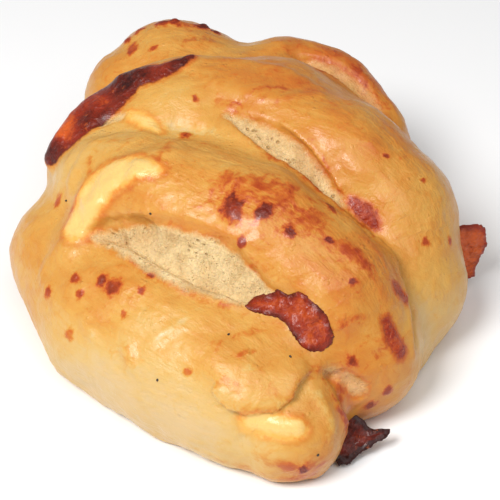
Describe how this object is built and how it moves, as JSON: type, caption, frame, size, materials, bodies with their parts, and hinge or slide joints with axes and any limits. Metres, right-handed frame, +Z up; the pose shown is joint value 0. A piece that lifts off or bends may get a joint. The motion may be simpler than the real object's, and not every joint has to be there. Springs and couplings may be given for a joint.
{
  "type": "bread roll",
  "caption": "Twisted cheese bread roll baked as one piece, with split strands, open crumb and burnt cheese; rests on its flat base.",
  "frame": {"origin": "centre of the roll's footprint, on the surface that it rests on", "axes": "+Z up, +Y along the roll from its pointed end to its blunt end, +X to the right seen from the pointed end"},
  "size_m": [0.1104, 0.1288, 0.0495],
  "materials": {
    "crust": "baked golden crust with a soft egg-wash gloss",
    "burnt_cheese": "dark caramelised cheese, glossy and crisp"
  },
  "bodies": {
    "root": {"bread_roll": "crust"}
  },
  "joints": []
}
